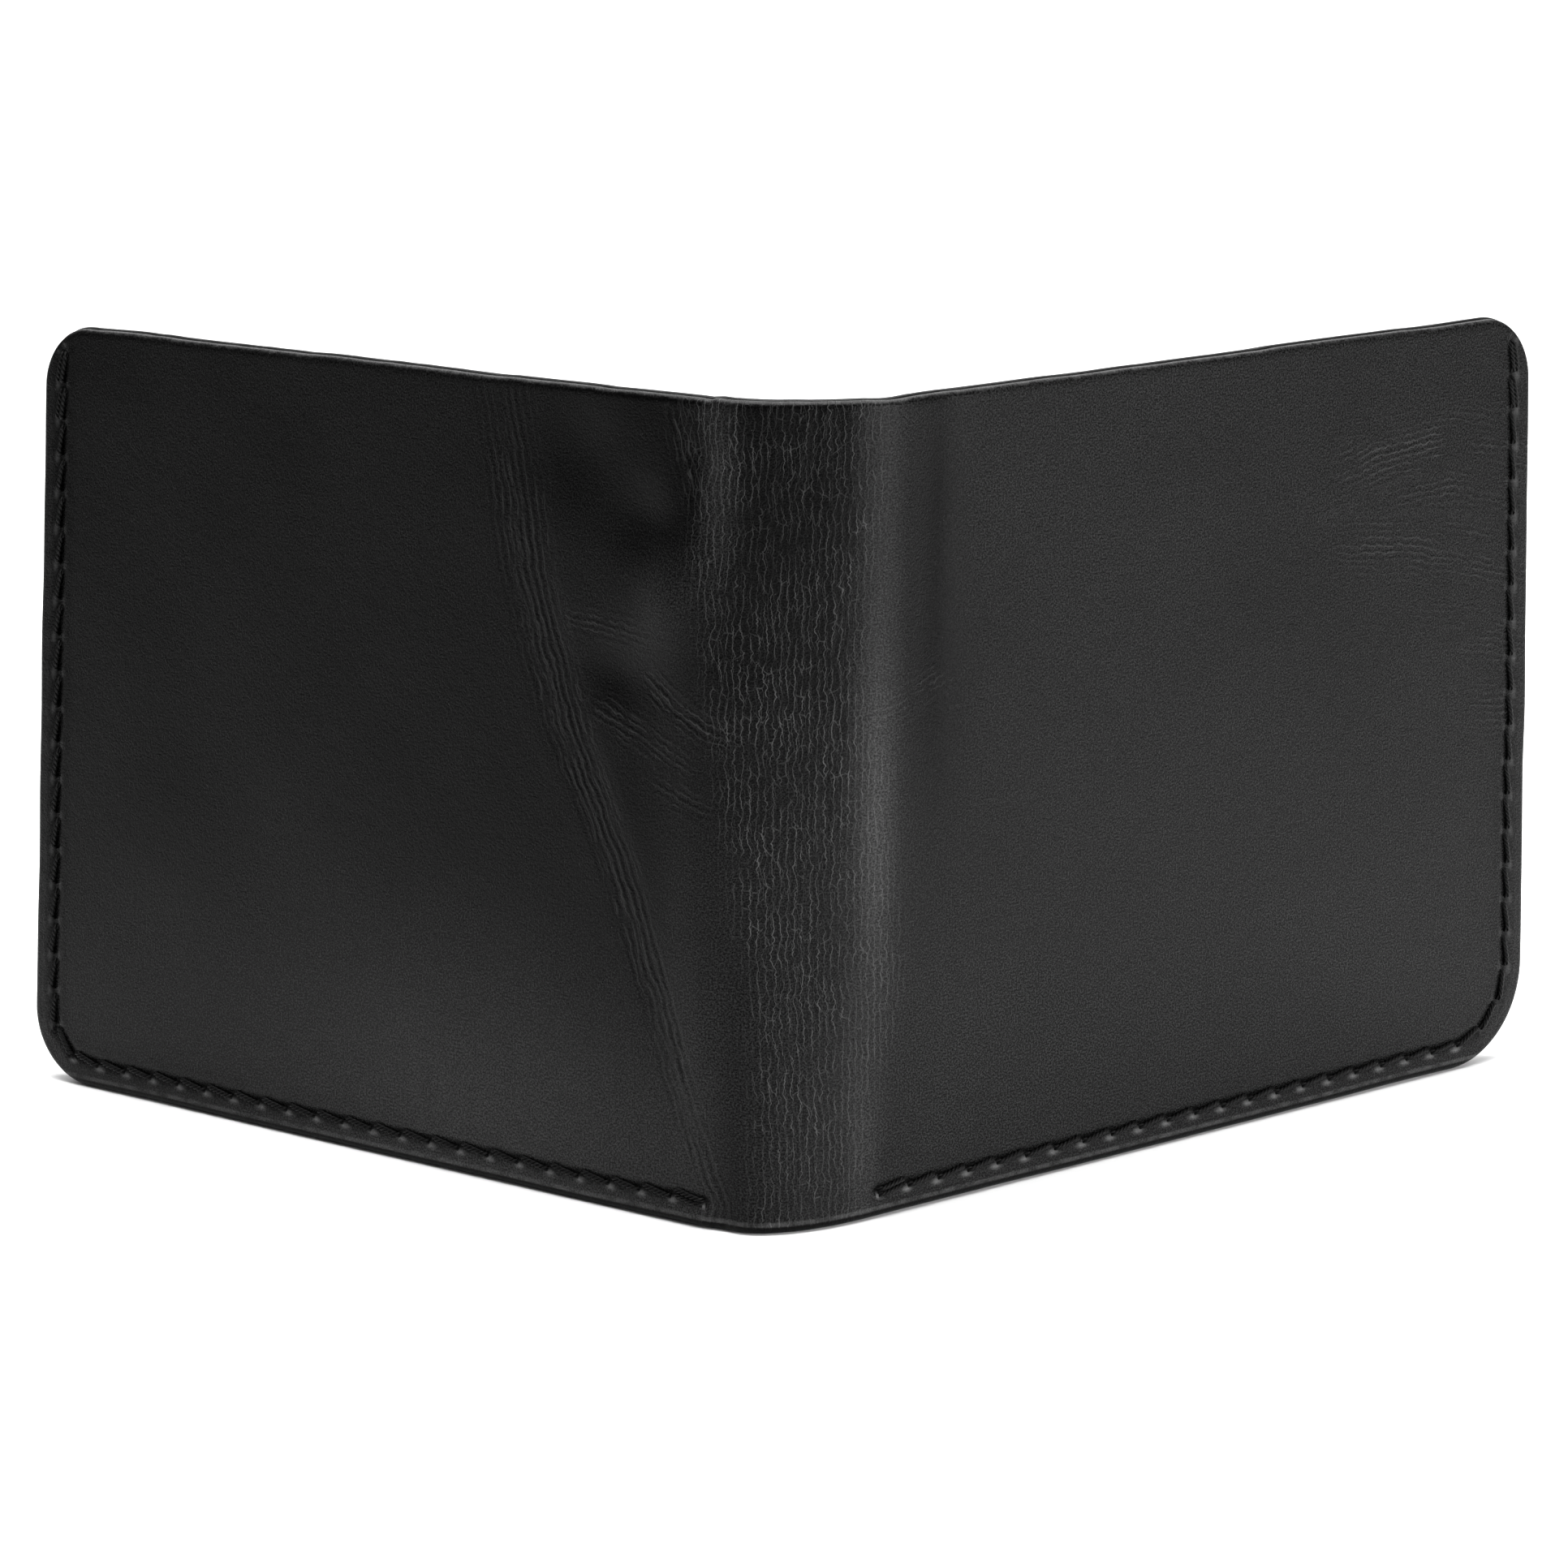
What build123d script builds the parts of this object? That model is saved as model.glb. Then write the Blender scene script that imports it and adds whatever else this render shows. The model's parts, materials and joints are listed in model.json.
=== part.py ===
from build123d import *
import math
import os

# Bifold wallet, millimetres. It stands on its bottom edges, half open, with the spine towards -Y.
# +Z is up. The origin is under the middle of its box, on the surface that it stands on.
# Each half is built flat first: X runs from the fold line to the free edge, Y runs inward from the
# outer face of the shell, and Z is up. It is then turned and moved to its fold line.

# Shell, the one outer sheet that makes both covers and the spine
cover_width = 104.0  # from the fold line to the free edge
cover_height = 92.0
shell_thickness = 1.5
spine_chord = 15.0  # straight distance between the two fold lines
cover_angle = 37.0  # each cover, measured from the X axis
edge_round = 0.45  # burnished edges
fold_clearance = 0.35  # from a fold line to the end of the leather on each side of it
top_corner = {"left": 7.0, "right": 7.5}
bottom_corner = {"left": 9.0, "right": 12.0}

# Divider, the sheet behind which the notes lie
divider_thickness = 0.8
divider_height = 91.2
divider_clearance = 1.6  # from a fold line to the end of the divider on each side of it

# Card panels, one on each half: a backing with three pockets one over the other
backing_thickness = 0.8
backing_height = 90.6
pocket_thickness = 0.6
front_pocket_thickness = 0.8
slot_gap = 0.4  # each compartment is drawn open by this much
panel_inner_edge = 1.0  # from the fold line to the inner edge of the card panel
front_pocket_top = 52.0
middle_pocket_top = 63.0
upper_pocket_top = 74.0
pocket_depth = 50.5  # from a pocket's top edge to the bottom of its tongue
band_height = 15.0  # the full-width top of a T-shaped pocket
tongue_inset = 7.0  # a tongue is narrower than its band by this much on each side

# Saddle stitching
seam_inset = 3.2
seam_start_below_top = 3.0
seam_end = 2.4  # from the fold line to the last hole of the perimeter seam
stitch_pitch = 4.15
hole_radius = 0.5
thread_radius = 0.33
stitch_width = 0.66
stitch_height = 0.3
inner_seam_inset = 3.2  # from the inner edge of the card panel
inner_seam_bottom = 8.0
inner_seam_below_top = 2.0
tongue_seam_above_edge = 1.8
tongue_seam_inset = 3.0

# Where each layer of a half begins, measured inward from the outer face of the shell
divider_start = shell_thickness + slot_gap
backing_start = divider_start + divider_thickness + slot_gap
upper_pocket_start = backing_start + backing_thickness
middle_pocket_start = upper_pocket_start + pocket_thickness + slot_gap
front_pocket_start = middle_pocket_start + pocket_thickness + slot_gap
stack_depth = front_pocket_start + front_pocket_thickness

# Spine arc, tangent to both covers at the fold lines, which lie in the middle of the shell
turn = math.radians(cover_angle)
spine_radius = spine_chord / 2 / math.sin(turn)
spine_rise = spine_radius * (1 - math.cos(turn))
depth_of_half = cover_width * math.sin(turn) + (stack_depth - shell_thickness / 2) * math.cos(turn)
depth_of_spine = spine_rise + shell_thickness / 2
fold_y = (depth_of_spine - depth_of_half) / 2
spine_centre_y = fold_y + spine_radius * math.cos(turn)


def plate(outline, start, thickness):
    """A flat outline drawn in X and Z, given thickness inward from the depth start."""
    return extrude(Plane.XZ.offset(-(start + thickness)) * outline, amount=thickness)


def panel_outline(side, inner_edge, height, top_radius=0.0):
    """A panel of one half: square at the fold, round at its outer corners."""
    width = cover_width - inner_edge
    outline = Pos(inner_edge + width / 2, height / 2) * Rectangle(width, height)
    bottom_right = outline.vertices().sort_by(Axis.X)[-2:].sort_by(Axis.Y)[0]
    outline = fillet(bottom_right, bottom_corner[side])
    if top_radius:
        outline = fillet(outline.vertices().sort_by(Axis.Y)[-2:].sort_by(Axis.X)[-1], top_radius)
    return outline


def t_pocket_outline(top):
    """A T-shaped pocket: a full-width band, and a tongue that hangs from it behind the next pocket."""
    width = cover_width - panel_inner_edge
    middle = panel_inner_edge + width / 2
    band = Pos(middle, top - band_height / 2) * Rectangle(width, band_height)
    tongue = Pos(middle, top - pocket_depth / 2) * Rectangle(width - 2 * tongue_inset, pocket_depth)
    return band + tongue


def perimeter_points(side):
    """Holes of the L-shaped seam: down the free edge, round the corner and along the bottom."""
    corner = bottom_corner[side]
    bend = corner - seam_inset
    side_x = cover_width - seam_inset
    down = cover_height - seam_start_below_top - corner
    round_corner = bend * math.pi / 2
    along = cover_width - corner - seam_end
    total = down + round_corner + along
    stitches = round(total / stitch_pitch)
    points = []
    for number in range(stitches + 1):
        travel = total * number / stitches
        if travel <= down:
            points.append((side_x, cover_height - seam_start_below_top - travel))
        elif travel <= down + round_corner:
            angle = (travel - down) / bend
            points.append((side_x - bend + bend * math.cos(angle), corner - bend * math.sin(angle)))
        else:
            points.append((cover_width - corner - (travel - down - round_corner), seam_inset))
    return points


def straight_points(start, end):
    """Holes of a straight seam between two points."""
    length = math.dist(start, end)
    stitches = round(length / stitch_pitch)
    steps = [number / stitches for number in range(stitches + 1)]
    return [tuple(a + (b - a) * step for a, b in zip(start, end)) for step in steps]


def tongue_points(top):
    """Holes of the row that holds the bottom of a T-shaped pocket's tongue to the backing."""
    height = top - pocket_depth + tongue_seam_above_edge
    inset = tongue_inset + tongue_seam_inset
    return straight_points((panel_inner_edge + inset, height), (cover_width - inset, height))


def holes(points):
    """Round stitch holes to take out of an outline."""
    return [Pos(*point) * Circle(hole_radius) for point in points]


def inner_face(height):
    """Depth of the innermost leather at a seam of the card panel."""
    if height < front_pocket_top:
        return front_pocket_start + front_pocket_thickness
    if height < middle_pocket_top:
        return middle_pocket_start + pocket_thickness
    if height < upper_pocket_top:
        return upper_pocket_start + pocket_thickness
    return backing_start + backing_thickness


def seam(points, outer_face, face_at):
    """Saddle-stitched thread: a stitch on each face between holes, and thread through each hole."""
    solids = []
    depths = [face_at(height) for _, height in points]
    inner = [max(pair) for pair in zip(depths, depths[1:])]
    through = [max(pair) for pair in zip(inner[:1] + inner, inner + inner[-1:])]
    for (start, end), depth in zip(zip(points, points[1:]), inner):
        middle = Pos((start[0] + end[0]) / 2, (start[1] + end[1]) / 2)
        slant = math.degrees(math.atan2(end[1] - start[1], end[0] - start[0]))
        stitch = middle * Rot(0, 0, slant) * SlotCenterToCenter(math.dist(start, end), stitch_width)
        solids.append(plate(stitch, outer_face - stitch_height, stitch_height))
        solids.append(plate(stitch, depth, stitch_height))
    for point, depth in zip(points, through):
        length = depth + stitch_height - (outer_face - stitch_height)
        solids.append(plate(Pos(*point) * Circle(thread_radius), outer_face - stitch_height, length))
    return solids[0].fuse(*solids[1:])


def place_half(solid, side):
    """Turn a half about its fold line and move it to its side of the spine."""
    placed = Pos(spine_chord / 2, fold_y) * Rot(0, 0, cover_angle) * Pos(0, -shell_thickness / 2) * solid
    return placed if side == "right" else mirror(placed, about=Plane.YZ)


def spine_piece(outer_radius, thickness, height, clearance):
    """A curved strip of leather that crosses the spine, concentric with the shell."""
    inner_radius = outer_radius - thickness
    half_turn = cover_angle - math.degrees(clearance / outer_radius)
    ring = Circle(outer_radius) - Circle(inner_radius)
    reach = 2 * outer_radius
    edge = Vector(0, -reach).rotate(Axis.Z, half_turn)
    wedge = make_face(Polyline((0, 0), (-edge.X, edge.Y), (edge.X, edge.Y), close=True))
    return extrude(Pos(0, spine_centre_y) * (ring & wedge), amount=height)


def build_half(side):
    """Every piece of one half, flat."""
    perimeter = perimeter_points(side)
    inner_x = panel_inner_edge + inner_seam_inset
    upright = straight_points(
        (inner_x, upper_pocket_top - inner_seam_below_top), (inner_x, inner_seam_bottom)
    )
    upper_row = tongue_points(upper_pocket_top)
    middle_row = tongue_points(middle_pocket_top)
    panel_holes = holes(perimeter + upright)

    cover = plate(
        panel_outline(side, fold_clearance, cover_height, top_corner[side]) - holes(perimeter),
        0,
        shell_thickness,
    )
    rim = [edge for edge in cover.edges() if edge.geom_type != GeomType.CIRCLE or edge.radius > 1]
    across = [edge for edge in rim if abs(edge.tangent_at(0.5).Y) < 0.5]
    cover = fillet(across, edge_round)

    divider = panel_outline(side, divider_clearance, divider_height, top_corner[side] - 1)
    backing = panel_outline(side, panel_inner_edge, backing_height, top_corner[side] - 1)
    front = panel_outline(side, panel_inner_edge, front_pocket_top)
    pieces = {
        f"shell_{side}_cover": cover,
        f"divider_{side}": plate(divider - holes(perimeter), divider_start, divider_thickness),
        f"{side}_card_backing": plate(
            backing - holes(perimeter + upright + upper_row + middle_row),
            backing_start,
            backing_thickness,
        ),
        f"{side}_upper_pocket": plate(
            t_pocket_outline(upper_pocket_top) - (panel_holes + holes(upper_row)),
            upper_pocket_start,
            pocket_thickness,
        ),
        f"{side}_middle_pocket": plate(
            t_pocket_outline(middle_pocket_top) - (panel_holes + holes(middle_row)),
            middle_pocket_start,
            pocket_thickness,
        ),
        f"{side}_front_pocket": plate(
            front - panel_holes, front_pocket_start, front_pocket_thickness
        ),
        f"{side}_perimeter_seam": seam(perimeter, 0, inner_face),
        f"{side}_inner_seam": seam(upright, backing_start, inner_face),
        f"{side}_upper_pocket_seam": seam(
            upper_row, backing_start, lambda height: upper_pocket_start + pocket_thickness
        ),
        f"{side}_middle_pocket_seam": seam(
            middle_row, backing_start, lambda height: middle_pocket_start + pocket_thickness
        ),
    }
    return {name: place_half(solid, side) for name, solid in pieces.items()}


def build_spine():
    """The strips of the shell and the divider between the two fold lines."""
    shell_outer = spine_radius + shell_thickness / 2
    shell = spine_piece(shell_outer, shell_thickness, cover_height, fold_clearance)
    shell = fillet(shell.edges(), edge_round)
    divider_outer = shell_outer - divider_start
    divider = spine_piece(divider_outer, divider_thickness, divider_height, divider_clearance)
    return {"shell_spine": shell, "divider_spine": divider}


os.makedirs("parts", exist_ok=True)
nodes = build_spine() | build_half("left") | build_half("right")
for name, solid in nodes.items():
    export_step(solid, f"parts/{name}.step")
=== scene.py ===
import json
import math

import bpy
import numpy as np
from mathutils import Matrix, Vector


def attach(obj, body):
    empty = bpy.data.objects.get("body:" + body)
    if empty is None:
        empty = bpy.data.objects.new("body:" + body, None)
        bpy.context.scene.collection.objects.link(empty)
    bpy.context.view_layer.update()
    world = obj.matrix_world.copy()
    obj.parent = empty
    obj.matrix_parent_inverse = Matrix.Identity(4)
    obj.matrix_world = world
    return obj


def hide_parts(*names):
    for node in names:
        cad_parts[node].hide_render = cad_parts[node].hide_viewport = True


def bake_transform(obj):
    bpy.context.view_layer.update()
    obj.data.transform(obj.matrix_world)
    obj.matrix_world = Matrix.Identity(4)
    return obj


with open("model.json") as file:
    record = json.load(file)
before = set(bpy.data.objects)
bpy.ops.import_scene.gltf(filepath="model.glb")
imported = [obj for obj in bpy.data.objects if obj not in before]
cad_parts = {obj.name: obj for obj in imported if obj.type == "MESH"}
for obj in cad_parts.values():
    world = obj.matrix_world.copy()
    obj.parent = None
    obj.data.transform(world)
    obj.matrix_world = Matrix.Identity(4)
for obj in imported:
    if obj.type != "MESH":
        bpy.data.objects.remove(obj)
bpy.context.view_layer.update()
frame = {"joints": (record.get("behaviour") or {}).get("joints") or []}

# A black bifold wallet, standing half open on its bottom edges with its spine towards the camera.
# Sizes are in millimetres until a mesh is made. A point of the leather is given by three numbers:
# s, along the shell from the middle of the spine, negative on the left; z, the height; and d, the
# depth inward from the shell's outer face.
MM = 0.001
HEIGHT = 92.0
SHELL = 1.5  # thickness of the outer leather
COVER = 104.0  # from a fold line to the free edge
CHORD = 15.0  # between the two fold lines
ANGLE = math.radians(37)
ARC = CHORD / 2 / math.sin(ANGLE) * ANGLE  # from mid-spine to a fold line, along the leather
FOLD_Y = frame["joints"][0]["pos_m"][1] / MM  # of both fold lines
CORNERS = {"left": (9.0, 7.0), "right": (12.0, 7.5)}  # bottom and top
SIDES = {"left": -1, "right": 1}
FREE = ARC + COVER  # s of a free edge
DIVIDER, BACKING, POCKET, FRONT_POCKET = 0.8, 0.8, 0.6, 0.8  # thickness of the inner leathers
GAP = 0.4  # every compartment stands open by this much
FULL_TOP = HEIGHT - 0.4  # of the shell and of the divider


# ---------------------------------------------------------------- numbers


def smooth(x):
    """0 below 0, 1 above 1, and a smooth step between them."""
    x = np.clip(x, 0, 1)
    return x * x * (3 - 2 * x)


def lattice(ix, iy, seed):
    """A repeatable value between -1 and 1 for each whole-number point."""
    n = (ix * 374761393 + iy * 668265263 + seed * 974634777) & 0xFFFFFFFF
    n = ((n ^ (n >> 13)) * 1274126177) & 0xFFFFFFFF
    return (n ^ (n >> 16)) / 2147483647.5 - 1


def noise(x, y, seed):
    """Smooth noise between -1 and 1, about one swing to a unit."""
    x, y = np.broadcast_arrays(np.asarray(x, float), np.asarray(y, float))
    ix, iy = np.floor(x).astype(np.int64), np.floor(y).astype(np.int64)
    fx, fy = smooth(x - ix), smooth(y - iy)
    low = lattice(ix, iy, seed) * (1 - fx) + lattice(ix + 1, iy, seed) * fx
    high = lattice(ix, iy + 1, seed) * (1 - fx) + lattice(ix + 1, iy + 1, seed) * fx
    return low * (1 - fy) + high * fy


def hills(s, z, table):
    """The sum of round hills, each given by its height, its middle and its two radii."""
    total = 0 * (s + z)
    for height, middle, radii in table:
        off_s, off_z = (s - middle[0]) / radii[0], (z - middle[1]) / radii[1]
        total = total + height * np.exp(-(off_s**2) - off_z**2)
    return total


def graded(*stops):
    """Grid lines from the first stop to the last. A stop is (position, spacing there)."""
    places, spacings = zip(*stops)
    x = np.linspace(places[0], places[-1], 4000)
    steps = 1 / np.interp(x, places, spacings)
    count = np.concatenate([[0], np.cumsum((steps[1:] + steps[:-1]) / 2 * np.diff(x))])
    return np.interp(np.linspace(0, count[-1], math.ceil(count[-1]) + 1), count, x)


def path_distance(s, z, points):
    """Distance to a run of straight lines, which side of it, and the share of its length."""
    best = np.full(np.shape(s), 1e9)
    side = np.zeros(np.shape(s))
    share = np.zeros(np.shape(s))
    lengths = [math.dist(a, b) for a, b in zip(points, points[1:])]
    done = 0.0
    for (a, b), length in zip(zip(points, points[1:]), lengths):
        ds, dz = (b[0] - a[0]) / length, (b[1] - a[1]) / length
        t = np.clip((s - a[0]) * ds + (z - a[1]) * dz, 0, length)
        off_s, off_z = s - a[0] - t * ds, z - a[1] - t * dz
        off = np.hypot(off_s, off_z)
        nearer = off < best
        best = np.where(nearer, off, best)
        side = np.where(nearer, np.sign(off_s * dz - off_z * ds), side)
        share = np.where(nearer, (done + t) / sum(lengths), share)
        done += length
    return best, side, share


# ---------------------------------------------------------------- shape of the leather

# The valley beside the spine: z, and s there
VALLEY = [(0, -7.8), (11, -8.1), (29, -6.6), (47, -5.8), (65, -7.5), (86, -9.2), (92, -8.6)]
# How much of a cover's angle the shell has turned by: runs of s and that share, at four heights
BEND = {
    0: [(-10.5, -1), (-7.3, -0.75), (-4.6, -0.2), (-2.4, 0.25), (1.5, 0.6), (5, 0.8), (8.5, 1)],
    29: [(-12.8, -1), (-9.6, -0.85), (-6.5, -0.35), (-2.4, 0.05), (4, 0.25), (8, 0.65), (12, 1)],
    64: [(-12.8, -1), (-10.6, -0.9), (-7, -0.5), (-2.2, -0.05), (5.5, 0.2), (9.6, 0.62), (14, 1)],
    92: [(-11.2, -1), (-9.2, -0.85), (-5.7, -0.45), (-1.2, -0.03), (5.8, 0.12), (9, 0.55), (13, 1)],
}
# How far each cover stands out from its true plane: z, and the distance there
STAND_LEFT = [(0, 2.39), (92, -2.16)]
STAND_RIGHT = [(0, -1.4), (92, -0.82)]
# Bumps and hollows: height, middle and radii
BUMPS = [
    (0.75, (-13.8, 69.4), (4.2, 6.5)),
    (-0.55, (-26.1, 84), (6, 6)),
    (-0.4, (-10.8, 85.5), (2.4, 6)),
    (-0.5, (-17.9, 77.8), (4.5, 4)),
    (-0.45, (-21, 60.5), (4.5, 3.5)),
    (-0.6, (17.5, 74), (3.4, 24)),
    (-0.25, (-14.5, 22), (3.2, 14)),
    (0.25, (-20, 45), (4.5, 7)),
]
# The middle of the long bundle of creases, from the bottom to the top
BUNDLE = [(-8.5, 3), (-9.9, 6.8), (-13.2, 16.3), (-16.4, 27.6), (-20.7, 39.8), (-24.1, 46.6),
          (-27.6, 53.4), (-30.5, 62.1), (-33.5, 70.8), (-34.9, 79.7), (-37.8, 91)]
# Runs of s and z, the width of the creased strip, and the height of its ridges
SHORT_CREASES = [
    ([(-28.6, 66.2), (-20.7, 65.5), (-13.4, 64.5)], 0.8, 0.05),
    ([(-17.2, 61.2), (-12.3, 57.5), (-8.8, 55.7), (-4.9, 54.4)], 0.9, 0.12),
    ([(-25.2, 57), (-17.3, 54.2), (-10, 50.5)], 1.1, 0.05),
    ([(-17.2, 49.7), (-8, 46.4)], 0.9, 0.04),
    ([(-13.8, 91), (-12.1, 85.4), (-10.1, 79.5)], 0.9, 0.07),
    ([(72, 74), (85.8, 77.5), (96.9, 78.3), (118, 74)], 1.9, 0.05),
    ([(75, 68), (91.6, 66.3), (118, 60)], 2.0, 0.045),
    ([(86, 72), (98, 72.6), (118, 68)], 1.6, 0.04),
    ([(92.1, 56), (118, 50.5)], 2.0, 0.035),
    ([(101, 45.5), (118, 43.5)], 1.8, 0.03),
    ([(6, 57), (13, 58.5), (20, 61)], 1.2, 0.02),
]


def at_height(stops, z):
    return np.interp(z, [a for a, _ in stops], [b for _, b in stops])


def cover_angle(z):
    """The covers open a little wider at the top."""
    return np.radians(36.65 + 1.58 * z / HEIGHT)


TABLE = 40.0  # the table of the bend covers this much of the leather each side of the middle
TABLE_STEP = 0.1


def bend_turn(s, z):
    """The share of a cover's angle turned by, with its corners softened along s."""
    knots = np.array(list(BEND.values()), float)
    turn = np.empty((len(s), len(z)))
    for k, height in enumerate(z):
        at = [[np.interp(height, list(BEND), knots[:, n, m]) for n in range(7)] for m in (0, 1)]
        turn[:, k] = np.interp(s, *at)
    softness, steps = 1.5, 50
    soft = np.exp(-((np.arange(-steps, steps + 1) * TABLE_STEP / softness) ** 2))
    padded = np.pad(turn, ((steps, steps), (0, 0)), "edge")
    columns = [np.convolve(column, soft / soft.sum(), "valid") for column in padded.T]
    return np.stack(columns, -1)


def bend_table():
    """The middle of the shell seen from above, at each height: places and turn along s."""
    s = np.arange(-TABLE, TABLE + TABLE_STEP / 2, TABLE_STEP)
    z = np.linspace(0, HEIGHT, 47)
    full = cover_angle(z)
    turn = bend_turn(s, z) * full
    between = (turn[1:] + turn[:-1]) / 2
    x = np.concatenate([0 * z[None], np.cumsum(np.cos(between), 0) * TABLE_STEP])
    y = np.concatenate([0 * z[None], np.cumsum(np.sin(between), 0) * TABLE_STEP])
    # The run is moved so that both of its ends lie on the planes of the covers
    sine, cosine = np.sin(full), np.cos(full)
    right = (CHORD / 2 - x[-1]) * sine - (FOLD_Y - y[-1]) * cosine + at_height(STAND_RIGHT, z)
    left = (CHORD / 2 + x[0]) * sine - (FOLD_Y - y[0]) * cosine + at_height(STAND_LEFT, z)
    x = x + (right - left) / 2 / sine
    y = y - (right + left) / 2 / cosine
    reach = [(side * x[k] - CHORD / 2) * cosine + (y[k] - FOLD_Y) * sine
             for side, k in ((-1, 0), (1, -1))]
    return s, z, x, y, turn, reach


BEND_S, BEND_Z, BEND_X, BEND_Y, BEND_TURN, BEND_REACH = bend_table()


def read_bend(table, s, z):
    """A value of the table, read between its lines."""
    i = np.clip((s - BEND_S[0]) / TABLE_STEP, 0, len(BEND_S) - 1.001)
    j = np.clip(z / (BEND_Z[1] - BEND_Z[0]), 0, len(BEND_Z) - 1.001)
    i0, j0 = i.astype(int), j.astype(int)
    fi, fj = i - i0, j - j0
    low = table[i0, j0] * (1 - fi) + table[i0 + 1, j0] * fi
    high = table[i0, j0 + 1] * (1 - fi) + table[i0 + 1, j0 + 1] * fi
    return low * (1 - fj) + high * fj


def swell(s, z):
    """Broad shape that all the layers share: the bend of the spine, hollows, bumps and waves."""
    off_valley = (s - at_height(VALLEY, z)) / 1.7
    out = -0.4 * np.exp(-(off_valley**2)) * (0.55 + 0.45 * np.cos(z / 15))
    out += hills(s, z, BUMPS)
    out += 0.16 * noise(s / 31 + 4.2, z / 27 + 1.3, 3) * smooth((np.abs(s) - 12) / 18)
    out += 0.05 * noise(s / 12, z / 11, 5) * smooth((np.abs(s) - 12) / 12)
    return out


def bundle_place(s, z):
    """Distance across the long bundle of creases, and its strength there."""
    centre = np.interp(z, [b for _, b in BUNDLE], [a for a, _ in BUNDLE])
    across = (s - centre) * 0.93
    width = np.interp(z, [0, 27, 53, 71, 92], [1.8, 2.2, 3.2, 3.6, 4.2])
    fade = np.interp(z, [1, 12, 60, 78, 92], [0.5, 1, 1, 0.75, 0.3])
    return across, np.exp(-((np.abs(across) / width) ** 4)) * fade


def braid_strength(s, z):
    """1 where the spine is cracked all over, and 0 on the covers."""
    left = np.interp(z, [0, 11, 29, 47, 73, 89], [-3.5, -3.3, -3.6, -6.2, -9.6, -11.6])
    right = np.interp(z, [0, 10, 28, 47, 65, 82], [7, 7.6, 11.9, 9.5, 7.6, 8.5])
    return smooth((s - left + 3) / 4.5) * smooth((right - s + 3.5) / 6)


def clumps(s, z):
    """The wrinkles near the right free edge come in patches. The other creases run unbroken."""
    patches = smooth(0.8 + 1.3 * noise(s / 4.5, z / 1.3, 10))
    return 1 - smooth((s - 50) / 10) * (1 - patches)


def short_creases(s, z):
    """For each short crease: signed distance, distance in widths, strength and ridge height."""
    for points, width, height in SHORT_CREASES:
        off, side, share = path_distance(s, z, points)
        strength = np.sin(math.pi * np.clip(share, 0, 1)) ** 0.6 * clumps(s, z)
        yield off * side, off / width, strength, height


def creased(s, z):
    """Fine relief of the outer face: long creases, short creases and soft wrinkles."""
    bundle_pitch, short_pitch = 1.15, 1.3
    across, strength = bundle_place(s, z)
    wander = 1.1 * noise(z / 13, s * 0 + 2, 7) + 0.35 * noise(z / 4, s / 3, 8)
    out = strength * 0.055 * np.cos(2 * math.pi * across / bundle_pitch + 2.2 * wander)
    out -= strength * 0.12
    for signed, off, here, height in short_creases(s, z):
        ripple = np.cos(2 * math.pi * signed / short_pitch + 1.5 * noise(s / 3, z / 3, 9))
        out += height * here * np.exp(-((off / 1.6) ** 2)) * (0.75 * ripple - 0.25)
    folds = noise(s / 0.95 + 0.7 * noise(s / 4, z / 9, 11), z / 5.5, 12)
    return out + 0.035 * braid_strength(s, z) * folds


def outline(s, z):
    """The hand-cut outline: how a flat point moves from its true rectangle."""
    u = np.maximum(np.abs(s) - ARC, 0) / COVER
    wide = 0.12 * noise(z / 9, np.sign(s) * 3, 21)
    lift = np.interp(s, [-112, -11, -9.3, -8.6, 8, 10.5, 112], [0, 0, -0.2, 0, 0, -0.15, 0])
    lift = lift + 0.14 * noise(s / 8, 0.5, 22) + 0.05 * noise(s / 2.3, 0.5, 23)
    rise = 0.1 * (1 + noise(s / 13, 0.5, 24))
    top, bottom = (z / HEIGHT) ** 3, (1 - z / HEIGHT) ** 8
    return s + np.sign(s) * wide * u, z + lift * top + rise * bottom


def place(s, z, d, out=0.0):
    """Where a point of the leather is, in metres. out is fine relief added to the broad shape."""
    stand = SHELL / 2 - d + swell(s, z) + out
    s, z = outline(s, z)
    full, right = cover_angle(z), s > 0
    side = np.where(right, 1, -1)
    reach = np.where(right, np.interp(z, BEND_Z, BEND_REACH[1]), np.interp(z, BEND_Z, BEND_REACH[0]))
    u = reach + (np.abs(s) - TABLE) * (COVER - reach) / (FREE - TABLE)
    shift = np.where(right, at_height(STAND_RIGHT, z), at_height(STAND_LEFT, z))
    flat_x = side * (CHORD / 2 + u * np.cos(full) + shift * np.sin(full))
    flat_y = FOLD_Y + u * np.sin(full) - shift * np.cos(full)
    near = np.abs(s) < TABLE
    turn = np.where(near, read_bend(BEND_TURN, s, z), side * full)
    x = np.where(near, read_bend(BEND_X, s, z), flat_x) + stand * np.sin(turn)
    y = np.where(near, read_bend(BEND_Y, s, z), flat_y) - stand * np.cos(turn)
    return np.stack([x, y, z], -1) * MM


# ---------------------------------------------------------------- seams

SEAM_INSET = 3.2  # of the perimeter seam
SEAM_BELOW_TOP = 3.0
SEAM_END = 2.0  # from the fold line to the last hole
SEAM_PITCH = 4.33
HIDDEN_PITCH = 4.15  # of the seams inside


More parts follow.
